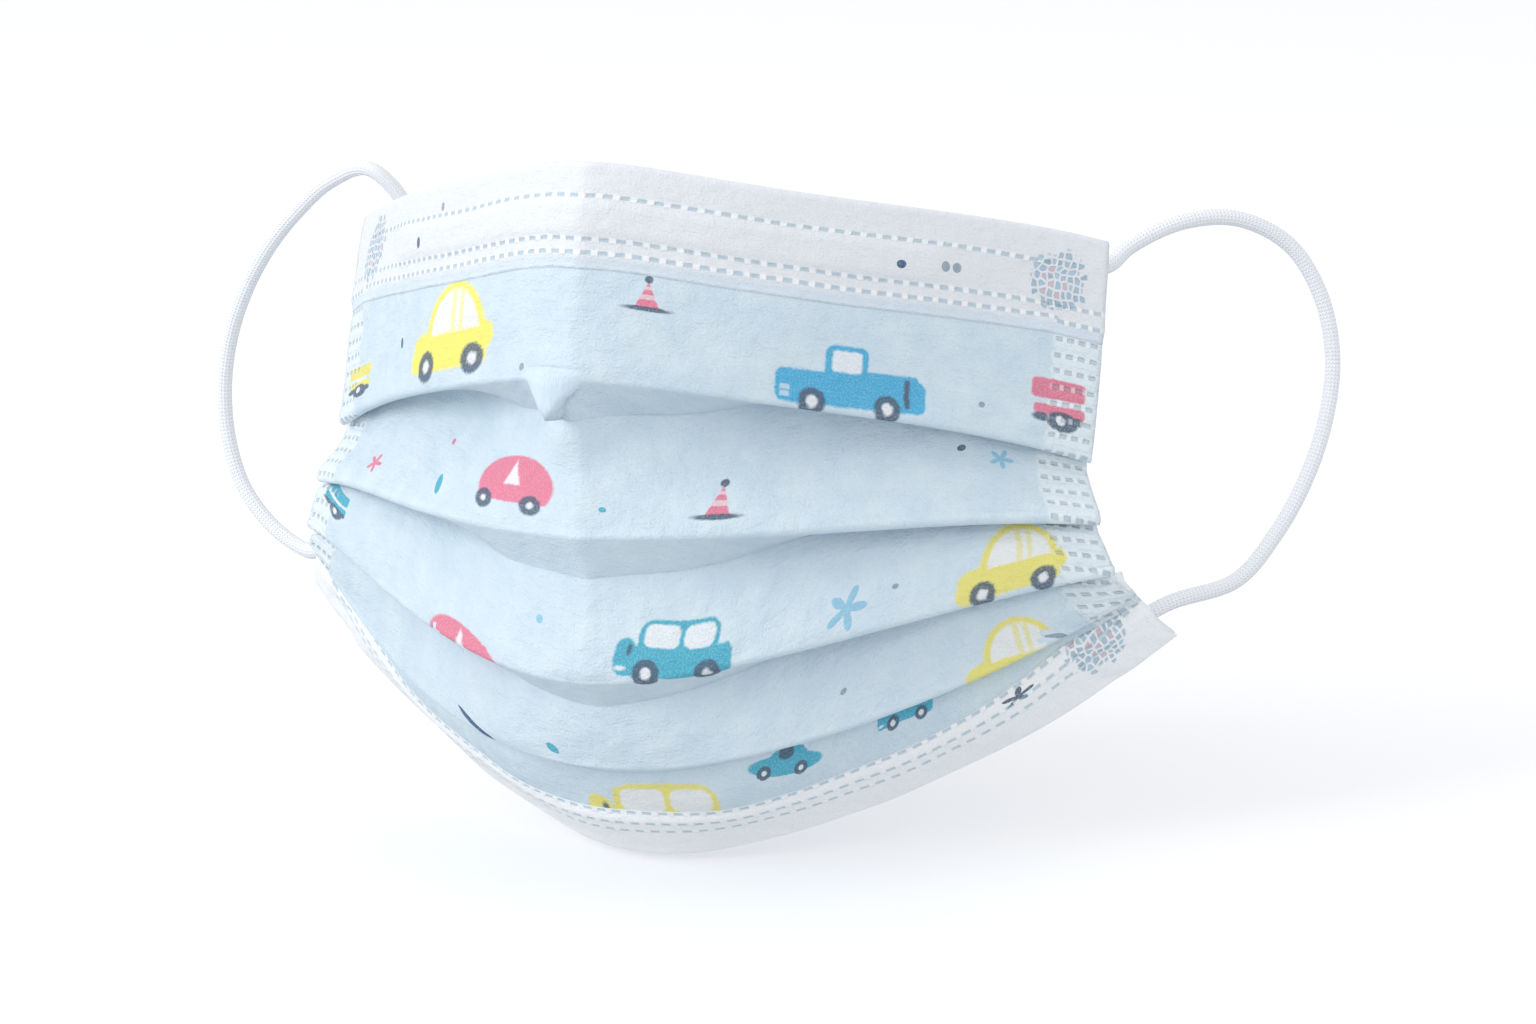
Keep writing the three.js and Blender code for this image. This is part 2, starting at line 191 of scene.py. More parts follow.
def cloth_sections(s):
    """The cloth's middle surface as rows of points, nose to chin. Each panel is a cubic Hermite
    curve between two lines; each fold is an arc, a straight tuck and an arc back."""
    along, inward = section_axes(s)
    P = [line_point(row, s) for row in LINES]
    T = [(p[:, :2] * along).sum(-1) for p in P]
    A = [np.stack([(p[:, :2] * inward).sum(-1), p[:, 2]], axis=-1) for p in P]
    step = [unit(A[i + 1] - A[i]) for i in range(6)]
    head_at = [turned(step[0], -0.10)] + [unit(step[i - 1] + step[i]) for i in range(1, 6)] + [step[5]]
    flat, cross, tags = [A[0]], [T[0]], [1.0]

    def panel(start, h0, end, h1, t0, t1, rows, tag):
        done = np.arange(1, rows + 1) / rows
        u = done[:, None, None]
        chord = np.linalg.norm(end - start, axis=-1)[None, :, None]
        a, b, c, d = 2 * u**3 - 3 * u**2 + 1, u**3 - 2 * u**2 + u, 3 * u**2 - 2 * u**3, u**3 - u**2
        pts = a * start + b * h0 * chord + c * end + d * h1 * chord * 0.7
        flat.extend(pts)
        cross.extend(t0 + (t1 - t0) * done[:, None])
        tags.extend(tag + done * 0.98)

    def arc(start, head, side, by, t, tag):
        n = turned(head, side * math.pi / 2)
        for j in range(1, FOLD_ROWS + 1):
            b = (by * j / FOLD_ROWS)[:, None]
            flat.append(start + FOLD_RADIUS * (np.sin(b) * head + (1 - np.cos(b)) * n))
            cross.append(t)
            tags.append(tag)
        return flat[-1], turned(head, side * by)

    at, head, t_now = A[0], head_at[0], T[0]
    q = np.abs(s)
    close = 0.55 * q + 0.45 * ease((q - 0.2) / 0.6)
    for line, tuck_mid, tuck_seam, turn_mid in FOLDS:
        bend = np.radians(turn_mid + (180.0 - turn_mid) * close)
        height = np.linalg.norm(A[line] - A[line - 1], axis=-1)
        tuck = np.minimum(tuck_mid + (tuck_seam - tuck_mid) * close, height - 3.2)
        h = head_at[line]
        aim = A[line] - h * (FOLD_RADIUS * np.sin(np.minimum(bend, math.pi / 2)))[:, None]
        aim = keep_clear(at, head, aim)
        if line > 1:
            straight = unit(aim - at)
            h = unit(straight + (h - straight) * (0.35 * (1 - close))[:, None])
        panel(at, head, aim, h, t_now, T[line], PANEL_ROWS[line], float(line))
        t_now, at = T[line], aim
        lean = np.maximum(s, 0.0) * (T[line] - T[line - 1]) / height    # right tucks stay behind
        p, back = arc(at, h, 1, bend, t_now, line + 0.99)
        for j in range(1, TUCK_ROWS + 1):
            flat.append(p + back * (tuck * j / TUCK_ROWS)[:, None])
            cross.append(t_now - lean * tuck * j / TUCK_ROWS)
            tags.append(line + 0.99)
        t_now = cross[-1] - LEFT_FLUSH * ease((-s - LEFT_FLUSH_FROM) / (1.0 - LEFT_FLUSH_FROM))
        p, again = arc(flat[-1], back, -1, bend, t_now, line + 0.99)
        up = -((p - at) * h).sum(-1)
        run = np.maximum(0.4, up + PAST_LIP)
        for j in range(1, RETURN_ROWS + 1):
            flat.append(p + h * (run * j / RETURN_ROWS)[:, None])
            cross.append(t_now + lean * run * j / RETURN_ROWS)
            tags.append(line + 1.0)
        at, head, t_now = flat[-1], again, cross[-1]
    edge = keep_clear(at, head, A[6])
    panel(at, head, edge, head_at[6], t_now, T[6], PANEL_ROWS[5], 5.0)
    flat, cross = np.array(flat), np.array([np.broadcast_to(c, s.shape) for c in cross])
    xy = cross[..., None] * along + flat[..., :1] * inward
    return np.concatenate([xy, flat[..., 1:]], axis=-1), np.array(tags)


S_VALUES = np.linspace(-1.0, 1.0, COLUMNS)
middle, row_tags = cloth_sections(S_VALUES)
print("middle surface:", middle.shape, "rows, columns, xyz in mm")

# %% [markdown]
# ## From a surface to a piece of cloth
# A sheet has two faces and a thin edge. The middle surface is pushed out and in along its own
# normals, and the two faces are joined all round. Distances measured along the cloth become the
# UV map, in units of 200 mm, so that the print and the welds follow every fold.

# %% Normals, distances and closed sheets
UV_SPAN, UV_MIDDLE = 200.0, 80.0     # mm across the map, and the distance down that lies in its middle


def surface_normals(grid):
    """The unit cross product of the two directions of a grid; it points out of the front."""
    down = np.gradient(grid, axis=0)
    across = np.gradient(grid, axis=1)
    return unit(np.cross(down, across))


def along_rows(grid):
    """Distance down every column, from the first row, as running sums of chord lengths."""
    step = np.linalg.norm(np.diff(grid, axis=0), axis=-1)
    return np.vstack([np.zeros((1, grid.shape[1])), np.cumsum(step, axis=0)])


def along_columns(grid):
    """Distance across every row, from its middle column; left of the middle it is negative."""
    step = np.linalg.norm(np.diff(grid, axis=1), axis=-1)
    run = np.hstack([np.zeros((grid.shape[0], 1)), np.cumsum(step, axis=1)])
    half = grid.shape[1] // 2
    return run - run[:, half:half + 1]


def face_middles(uv):
    """The mean of each quad's four corners."""
    return (uv[:-1, :-1] + uv[1:, :-1] + uv[1:, 1:] + uv[:-1, 1:]) / 4.0


def make_piece(name, points, faces, corner_uv):
    """A smooth object from points in mm, faces, and a UV for every corner of every face."""
    mesh = bpy.data.meshes.new(name)
    mesh.from_pydata((points.reshape(-1, 3) * MM).tolist(), [], faces)
    layer = mesh.uv_layers.new(name="cloth")
    layer.data.foreach_set("uv", corner_uv.ravel().astype(np.float32))
    mesh.polygons.foreach_set("use_smooth", np.ones(len(faces), dtype=bool))
    mesh.update()
    return add_object(name, mesh)


def closed_sheet(name, front, back, uv, seam):
    """Two grids of the same shape become one closed mesh: front and back faces, and a ribbon
    round all four sides. Quads run down then across, so they face outwards."""
    rows, cols = front.shape[:2]
    index = np.arange(rows * cols).reshape(rows, cols)
    a, b, c, d = index[:-1, :-1], index[1:, :-1], index[1:, 1:], index[:-1, 1:]
    outer = np.stack([a, b, c, d], axis=-1).reshape(-1, 4)
    shift = rows * cols
    inner = outer[:, ::-1] + shift
    loop = np.concatenate([index[0, :-1], index[:-1, -1], index[-1, :0:-1], index[:0:-1, 0]])
    after = np.roll(loop, -1)
    ribbon = np.stack([loop, after, after + shift, loop + shift], axis=-1)
    faces = np.concatenate([outer, inner, ribbon])
    flat = np.concatenate([uv.reshape(-1, 2)] * 2) / UV_SPAN + 0.5
    piece = make_piece(name, np.stack([front, back]), faces.tolist(), flat[faces])
    side = piece.data.attributes.new("seam", "FLOAT", "POINT")
    side.data.foreach_set("value", np.concatenate([seam.ravel()] * 2).astype(np.float32))
    slots = np.repeat(np.int32([0, 1, 0]), [len(outer), len(inner), len(ribbon)])
    piece.data.polygons.foreach_set("material_index", slots)
    print(name, len(faces) * 2, "triangles")
    return piece


# %% [markdown]
# ## The printed sheet
# Real cloth is never ruled. Its panels carry shallow waves that run across the mask, a sharp
# crease over the nose, and small puckers where the side seams grip the layers.

# %% Waves and puckers
def waves(uv, tags, seam):
    """Height of the cloth above its ideal surface, in mm: a few long slanting sine waves that
    fade at the folds and at the edges, and short ones across the cloth beside the side seams."""
    x, y = uv[..., 0], uv[..., 1]
    within = tags % 1.0
    body = ease(within / 0.25) * ease((1.0 - within) / 0.12)
    long_waves = (0.16 * np.sin(x / 9.0 + y / 6.5 + 0.7) + 0.13 * np.sin(x / 5.5 - y / 9.0 + 2.1)
                  + 0.10 * np.sin(y / 2.6 + 0.9 * np.sin(x / 13.0)) + 0.07 * np.sin(x / 3.1 + y / 4.0))
    pucker = 0.22 * np.sin(y / 1.15 + 0.4 * np.sin(x)) * ease(1.0 - np.abs(seam - 10.0) / 6.0)
    return (long_waves + pucker) * body


CREASE_X, CREASE_RISE, CREASE_REACH = 1.0, 1.5, 5.0


def crease(grid, tags):
    """How far the cloth comes forward in a sharp ridge over the nose, fading below fold 3: a
    rise times e to the power of minus the distance aside over the reach."""
    ridge = np.exp(-np.abs(grid[..., 0] - CREASE_X) / CREASE_REACH)
    return CREASE_RISE * ridge * ease((4.4 - tags) / 1.2)


FACET_X, FACET_HALF, FACET_DEPTH, FACET_LEAN = -2.0, 4.7, 6.0, 0.05
FACET_PULL, FACET_REACH = 3.2, 7.0


def nose_facet(grid, tags):
    """Beside the crease the cloth bridges fold 1 in a lit triangle that points down. Panel 2 is
    first pulled forward under its tip. Then, in each column, half of the rows between lip and
    foot lie on the triangle, which leans out a little, and half go straight in behind it."""
    lip = np.flatnonzero(tags < 1.985)[-1]
    near = np.maximum(0.0, 1.0 - np.abs(grid[..., 0] - FACET_X) / FACET_REACH)
    below = ease((tags - 1.94) / 0.04) * ease((2.5 - tags) / 0.45)
    grid[..., 1] -= FACET_PULL * ease(near) * below[:, None]
    for j in np.flatnonzero(np.abs(grid[lip, :, 0] - FACET_X) < FACET_HALF - 0.3):
        depth = FACET_DEPTH * (1.0 - abs(grid[lip, j, 0] - FACET_X) / FACET_HALF)
        top = grid[lip, j]
        tip = top + [0.0, -depth * FACET_LEAN, -depth]
        behind = (grid[lip + 1:, j, 2] < tip[2]) & (grid[lip + 1:, j, 1] > tip[1])
        foot = lip + 1 + np.flatnonzero(behind)[0]
        t = np.linspace(0.0, 2.0, foot - lip + 1)[:, None]
        straight_in = (grid[foot, j] - tip) * np.maximum(t - 1.0, 0.0)
        grid[lip:foot + 1, j] = top + (tip - top) * np.minimum(t, 1.0) + straight_in
    return grid


uv_down, uv_across = along_rows(middle), along_columns(middle)
seam_mm = np.minimum(uv_across - uv_across[:, :1], uv_across[:, -1:] - uv_across)
cloth_uv = np.stack([uv_across, uv_down - UV_MIDDLE], axis=-1)
tags = row_tags[:, None]
lifted = middle + surface_normals(middle) * waves(cloth_uv, tags, seam_mm)[..., None]
lifted[..., 1] -= crease(middle, tags)
lifted = nose_facet(lifted, row_tags)
normals = surface_normals(lifted)
inside = slice(3, -3)     # the hems wrap the first and last rows
body_uv = cloth_uv[inside]
body = closed_sheet("pleated_cloth", (lifted + normals * CLOTH / 2)[inside],
                    (lifted - normals * CLOTH / 2)[inside], body_uv, seam_mm[inside])
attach(body, "root")
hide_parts("mask_body")
print("cloth is", round(float(np.ptp(uv_across[0])), 1), "mm across the top and",
      round(float(uv_down[-1].mean()), 1), "mm from nose to chin")

# %% [markdown]
# ## The white hems
# At nose and chin a white strip is folded over the edge and welded with rows of dashes. Its
# section is a hairpin. Under the top one lies the nose wire, so the strip stands out over it.

# %% Points on the cloth at a distance from an edge
def at_distance(grid, values, distances):
    """Any quantity of a grid, read at distances (rows by columns) down its columns, by straight
    interpolation."""
    run = along_rows(grid)
    index = np.clip((run[None] < distances[:, None, :]).sum(axis=1), 1, grid.shape[0] - 1)
    lo, hi = np.take_along_axis(run, index - 1, 0), np.take_along_axis(run, index, 0)
    t = (distances - lo) / np.maximum(hi - lo, 1e-9)
    a = np.take_along_axis(values, (index - 1)[..., None], 0)
    b = np.take_along_axis(values, index[..., None], 0)
    return a + (b - a) * t[..., None]


def points_and_normals(grid, facing, distances):
    """Points of a grid at distances down its columns, and its normals there."""
    normals = surface_normals(grid) * facing
    return at_distance(grid, grid, distances), unit(at_distance(grid, normals, distances))


def folded_strip(grid, outer, inner, stand, wall, bulge, facing):
    """A hairpin section: down the outside, round the edge on a half circle, up the inside.
    stand is the distance of its middle from the cloth's middle; bulge adds to it outside. At
    the outer end the strip is pressed thin against the cloth.
    facing is -1 for a grid that is listed from chin to nose, whose normals point inwards."""
    edge = stand + wall / 2
    columns = np.ones(grid.shape[1])
    out_d = np.linspace(outer * columns, edge * columns, 34)
    in_d = np.linspace(edge * columns, inner * columns, 14)
    p_out, n_out = points_and_normals(grid, facing, out_d)
    p_in, n_in = points_and_normals(grid, facing, in_d)
    press = ease((out_d - outer + 2.2) / 2.0)
    out_stand = stand - press * (stand - PRESSED) + bulge(out_d)
    path, dist = list(p_out + n_out * out_stand[..., None]), list(out_d)
    centre, n = p_out[-1], n_out[-1]
    tip = unit(grid[0] - grid[1])
    for j in range(1, 9):
        b = math.pi * j / 9
        path.append(centre + (math.cos(b) * n + math.sin(b) * tip) * stand)
        dist.append(np.full(grid.shape[1], edge - stand * math.sin(b)))
    path += list(p_in - n_in * stand)
    dist += list(-in_d)
    thick = np.full((len(path), grid.shape[1]), wall)
    thick[:len(press)] -= press * (wall - 0.2)
    return np.array(path), np.array(dist), thick


# %% Top and chin strips
HEM_WALL, HEM_STAND, PRESSED = 0.6, 0.82, 0.42
TOP_BAND, TOP_INNER_LEG, CHIN_BAND, CHIN_INNER_LEG = 16.5, 12.0, 12.6, 6.0
WIRE_HALF, WIRE_DOWN, WIRE_REACH, WIRE_RISE = 0.63, 8.8, 1.6, 0.6


def wire_bulge(d):
    """The strip's extra height over the wire: a flat-topped bump across, faded at both ends."""
    across = ease(1.0 - (np.abs(d - WIRE_DOWN) - WIRE_REACH) / 1.8)
    return WIRE_RISE * across * ease((WIRE_HALF + 0.10 - np.abs(S_VALUES)) / 0.06)[None, :]


def no_bulge(d):
    """The chin strip holds no wire."""
    return np.zeros_like(d)


def make_strip(name, node, grid, outer, inner, bulge, facing=1.0):
    """The strip's closed mesh, with its distance from the edge down the UV map."""
    path, dist, thick = folded_strip(grid, outer, inner, HEM_STAND, HEM_WALL, bulge, facing)
    if facing > 0:
        path, dist, thick = path[::-1], dist[::-1], thick[::-1]
    n = surface_normals(path) * thick[..., None] / 2
    across = along_columns(path)
    seam = np.minimum(across - across[:, :1], across[:, -1:] - across)
    uv = np.stack([across, dist - UV_MIDDLE], axis=-1)
    piece = closed_sheet(name, path + n, path - n, uv, seam)
    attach(piece, "root")
    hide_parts(node)
    return piece, uv


nose_panel = lifted[:PANEL_ROWS[1] + 2]
chin_panel = lifted[np.flatnonzero(row_tags > 5.0)[0]:][::-1]
chin_reach = np.minimum(CHIN_BAND, along_rows(chin_panel)[-1] - 0.5)
chin_inner = np.minimum(CHIN_INNER_LEG, chin_reach)
top_hem, top_uv = make_strip("nose_strip", "top_hem", nose_panel, TOP_BAND, TOP_INNER_LEG, wire_bulge)
chin_hem, chin_uv = make_strip("chin_strip", "bottom_hem", chin_panel, chin_reach, chin_inner, no_bulge, -1.0)
print("top strip to", round(float(top_hem.dimensions.z), 4), "m high")


# %% The flat wire between cloth and strip
def make_wire():
    """Part of the cloth's own surface between two distances, lifted clear of the cloth."""
    columns = np.flatnonzero(np.abs(S_VALUES) < WIRE_HALF)
    down = np.linspace(WIRE_DOWN - WIRE_REACH, WIRE_DOWN + WIRE_REACH, 7)[:, None] * np.ones(COLUMNS)
    points, n = (grid[:, columns] for grid in points_and_normals(nose_panel, 1.0, down))
    uv = np.stack([along_columns(points), down[:, columns]], axis=-1)
    far_from_seams = np.full(uv.shape[:2], 50.0)
    wire = closed_sheet("flat_wire", points + n * 0.85, points + n * 0.50, uv, far_from_seams)
    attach(wire, "root")
    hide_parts("nose_wire")
    return wire


wire = make_wire()

# %% [markdown]
# ## The ear loops
# Each loop is a round knitted elastic, 2.5 mm thick. It is welded flat behind one corner, stands
# open as it does round an ear, and comes back to the other corner. Its route is a short list of
# points with a smooth curve through them. A circle is then carried along that curve.

# %% Routes of the two loops
CORD_MM = 2.5
RIGHT_ROUTE = (
    (53.4, 42.6, -25.0), (58.3, 49.4, -24.5), (63.2, 55.6, -24.3), (65.4, 59.1, -22.0),
    (71.7, 66.2, -19.1), (78.7, 73.1, -19.6), (85.4, 78.3, -24.6), (89.8, 80.2, -33.2),
    (91.7, 79.4, -42.9), (91.3, 76.2, -52.3), (89.3, 71.8, -61.0), (86.1, 66.3, -68.6),
    (81.6, 60.0, -74.9), (73.4, 50.9, -77.0), (67.4, 46.0, -80.3), (61.3, 41.1, -83.2),
)
LEFT_ROUTE = (
    (-56.1, 44.0, -29.8), (-56.4, 47.1, -24.2), (-56.9, 51.0, -18.2), (-62.7, 50.4, -12.0),
    (-71.0, 52.5, -14.6), (-78.1, 54.3, -19.9), (-84.4, 55.8, -26.1), (-89.7, 57.0, -33.3),
    (-93.7, 57.8, -41.4), (-95.8, 58.0, -50.1), (-95.7, 57.7, -59.1), (-92.9, 56.7, -67.6),
    (-86.9, 54.9, -73.9), (-78.9, 52.7, -77.4), (-72.6, 50.2, -76.1), (-67.1, 45.7, -80.0),
    (-61.2, 40.9, -83.0),
)


def smooth_route(points, per_span=14):
    """Centripetal Catmull-Rom: between two points the curve blends the straight lines through
    their neighbours, each timed by the square root of its chord."""
    p = np.array(points, dtype=float)
    p = np.vstack([2 * p[0] - p[1], p, 2 * p[-1] - p[-2]])
    knots = np.concatenate([[0.0], np.cumsum(np.linalg.norm(np.diff(p, axis=0), axis=1) ** 0.5)])
    k = [knots[i:len(knots) - 3 + i][:, None, None] for i in range(4)]
    q = [p[i:len(p) - 3 + i][:, None, :] for i in range(4)]
    u = (np.arange(per_span) / per_span)[None, :, None]
    t = k[1] + (k[2] - k[1]) * u
    mix = lambda a, b, ta, tb: ((tb - t) * a + (t - ta) * b) / (tb - ta)
    a1, a2, a3 = mix(q[0], q[1], k[0], k[1]), mix(q[1], q[2], k[1], k[2]), mix(q[2], q[3], k[2], k[3])
    b1, b2 = mix(a1, a2, k[0], k[2]), mix(a2, a3, k[1], k[3])
    return np.vstack([mix(b1, b2, k[1], k[2]).reshape(-1, 3), p[-2]])


def tube(name, path, radius, sides=20):
    """Rings of a circle round the path. Each ring's axes are the tangent crossed with the
    normal of the plane that holds most of the loop; both ends are closed by a cap."""
    tangent = unit(np.gradient(path, axis=0))
    plane = np.linalg.svd(path - path.mean(axis=0))[2][2]
    u = unit(np.cross(tangent, plane))
    v = np.cross(tangent, u)
    angle = np.arange(sides) / sides * 2 * math.pi
    circle = np.cos(angle)[None, :, None] * u[:, None] + np.sin(angle)[None, :, None] * v[:, None]
    ring = path[:, None] + radius * circle
    n = len(path)
    index = np.arange(n * sides).reshape(n, sides)
    nxt = np.roll(index, -1, axis=1)
    quads = np.stack([index[:-1], nxt[:-1], nxt[1:], index[1:]], axis=-1).reshape(-1, 4)
    run = np.concatenate([[0.0], np.cumsum(np.linalg.norm(np.diff(path, axis=0), axis=1))])
    uv = np.zeros((len(quads) * 4 + 2 * sides, 2))
    side_uv = uv[:len(quads) * 4].reshape(n - 1, sides, 4, 2)
    side_uv[..., 0] = (np.arange(sides)[:, None] + [0, 1, 1, 0]) / sides
    side_uv[..., 1] = run[np.arange(n - 1)[:, None] + [0, 0, 1, 1]][:, None] / UV_SPAN
    caps = [index[0, ::-1].tolist(), index[-1].tolist()]
    return make_piece(name, ring, quads.tolist() + caps, uv), float(run[-1])


def make_loop(name, node, route):
    """A loop's tube: a cord that leaves the mask and returns to it."""
    path = smooth_route(route)
    piece, length = tube(name, path, CORD_MM / 2)
    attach(piece, "root")
    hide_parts(node)
    print(name, "is", round(length, 1), "mm long")
    return piece


loop_right = make_loop("elastic_loop_right", "ear_loop_right", RIGHT_ROUTE)
loop_left = make_loop("elastic_loop_left", "ear_loop_left", LEFT_ROUTE)

# %% [markdown]
# ## The soft pieces
# The sheet and its two strips are one flat cut each.

# %% Sheets
print("the sheet and its two strips are one flat cut each")

# %% [markdown]
# ## Where the print goes
# The little cars are placed like rubber stamps. Each row of the table names a design, the place
# of its foot on the flat cloth, its size and tilt, and its ink. Every face near a stamp stores
# the two rows of numbers that turn the face's own millimetres into the stamp's coordinates, so
# one copy of each drawing in the shader serves all the stamps.

# %% The stamps
DOME_CAR, PICKUP, ROUND_CAR, SALOON, CONE, TRUCK, STAR, SPECK, RACER = range(1, 10)
WIDTH_OF = {DOME_CAR: 1.36, PICKUP: 2.13, ROUND_CAR: 1.30, SALOON: 1.87, CONE: 1.12, TRUCK: 1.04,
            STAR: 1.0, SPECK: 1.0, RACER: 3.1}      # width of each drawing, whose height is 1
YELLOW, BLUE_INK, TEAL, PINK = (250, 238, 108), (76, 176, 220), (76, 176, 202), (230, 128, 154)
SLATE, PALE, GREY, NAVY = (92, 108, 128), (150, 200, 226), (150, 165, 180), (62, 96, 130)
# The duller yellow below is painted shade on the two yellow cars at the right, which stand in the mask's
# shaded half; on the truck at the far left it is the pale ink of the print.
STRAW_AND_SHADED_YELLOW = (238, 228, 122)
STAMP_MARGIN = 0.9
BODY_PRINT = (  # design, across, down to the foot, width, height, tilt in degrees, ink
    (DOME_CAR, -32.0, 31.4, 30.0, 15.2, 1, YELLOW), (CONE, 11.6, 21.9, 7.4, 5.4, 0, PINK),
    (PICKUP, 44.5, 33.6, 25.2, 11.0, 0, BLUE_INK), (TRUCK, 80.1, 31.6, 9.9, 8.2, 0, PINK),
    (ROUND_CAR, -12.6, 58.4, 17.6, 9.4, 1, PINK), (CONE, 21.8, 59.2, 7.8, 6.8, -8, PINK),
    (SALOON, 13.7, 86.9, 18.9, 10.2, -7, TEAL), (DOME_CAR, 69.5, 87.3, 19.0, 12.3, 17, STRAW_AND_SHADED_YELLOW),
    (ROUND_CAR, -24.6, 91.6, 18.4, 8.8, 6, PINK), (DOME_CAR, 68.4, 116.4, 19.0, 13.0, 13, STRAW_AND_SHADED_YELLOW),
    (RACER, 25.2, 115.9, 16.0, 4.4, -31, TEAL), (SALOON, 46.0, 124.1, 9.8, 5.2, -14, TEAL),
    (SALOON, 3.7, 125.9, 25.8, 16.0, -8, STRAW_AND_SHADED_YELLOW), (STAR, 41.5, 88.6, 6.4, 6.2, 0, PALE),
    (STAR, -60.7, 61.2, 6.0, 3.6, 0, PINK), (STAR, 66.5, 54.2, 4.2, 3.2, 0, PALE),
    (TRUCK, -77.0, 32.0, 14.0, 5.4, 0, STRAW_AND_SHADED_YELLOW), (TRUCK, -75.2, 80.6, 11.0, 4.6, -12, TEAL),
    (SPECK, -33.1, 60.6, 1.8, 3.4, 20, TEAL), (SPECK, 4.4, 56.8, 1.2, 0.8, -20, TEAL),
    (SPECK, -7.9, 77.6, 1.3, 1.4, 0, PALE), (SPECK, -36.3, 52.6, 1.2, 1.1, 20, PINK),
    (SPECK, -9.4, 102.4, 2.4, 1.4, -30, TEAL), (SPECK, -25.8, 105.7, 9.0, 0.9, 5, NAVY),
    (SPECK, 66.6, 29.6, 1.1, 0.9, 0, GREY), (SPECK, 60.1, 51.8, 1.6, 1.0, 25, SLATE),
    (SPECK, -53.9, 25.4, 1.2, 1.9, 25, SLATE), (SPECK, -8.6, 32.0, 1.1, 1.2, 20, GREY),
    (SPECK, 49.1, 84.8, 1.1, 0.8, 0, GREY), (SPECK, 38.8, 106.8, 1.1, 0.8, 0, GREY),
    (SPECK, 74.4, 107.8, 4.0, 0.8, 0, GREY), (SPECK, -32.0, 88.9, 2.0, 0.9, -30, PINK),
)


def linear(channel):
    """One sRGB channel from 0 to 255 as linear light."""
    c = channel / 255.0
    return c / 12.92 if c <= 0.04045 else ((c + 0.055) / 1.055) ** 2.4


def stamp(piece, uv, table):
    """Face attributes for every stamp: x and y rows, each a dot product with (across, down, 1),
    the ink, and the design's number. Faces beyond the margin of all stamps keep zeros."""
    mesh = piece.data
    middles = face_middles(uv + [0.0, UV_MIDDLE]).reshape(-1, 2)
    rows = {name: np.zeros((len(mesh.polygons), 3)) for name in ("stamp_x", "stamp_y", "stamp_ink")}
    kinds = np.zeros(len(mesh.polygons))
    for design, across, down, width, height, tilt, ink in table:
        c, s = math.cos(math.radians(tilt)), math.sin(math.radians(tilt))
        k = WIDTH_OF[design] / width
        x_row = np.array([c * k, -s * k, (-c * across + s * down) * k])
        y_row = np.array([-s, -c, s * across + c * down]) / height
        x, y = (middles @ row[:2] + row[2] for row in (x_row, y_row))
        near = (np.abs(x) < (width / 2 + STAMP_MARGIN) * k) & (y > -STAMP_MARGIN / height)
        near &= y < 1 + STAMP_MARGIN / height
        faces = np.flatnonzero(near)
        rows["stamp_x"][faces], rows["stamp_y"][faces] = x_row, y_row
        rows["stamp_ink"][faces] = [linear(v) for v in ink]
        kinds[faces] = design
    for name, values in rows.items():
        layer = mesh.attributes.new(name, "FLOAT_VECTOR", "FACE")
        layer.data.foreach_set("vector", values.ravel().astype(np.float32))
    kind = mesh.attributes.new("stamp_kind", "FLOAT", "FACE")
    kind.data.foreach_set("value", kinds.astype(np.float32))
    print(piece.name, "carries", len(table), "stamps on", int((kinds > 0).sum()), "faces")


stamp(body, body_uv, BODY_PRINT)
stamp(top_hem, top_uv, (
    (SPECK, 52.5, 9.9, 1.6, 1.3, 0, NAVY), (SPECK, 60.2, 9.6, 1.6, 1.6, 0, GREY),
    (SPECK, 62.3, 9.5, 1.6, 1.5, 0, GREY), (SPECK, -38.0, 4.8, 1.2, 1.4, 10, GREY),
    (SPECK, -46.4, 10.2, 1.4, 2.0, 20, SLATE),
))
stamp(chin_hem, chin_uv, ((STAR, 64.4, 11.8, 6.0, 2.4, 0, SLATE),))

# %% [markdown]
# ## Writing shaders as formulas
# A pattern is easier to read as a formula than as a tangle of nodes. The small class below wraps
# one socket. Adding or multiplying two of them adds the Math node that does it.

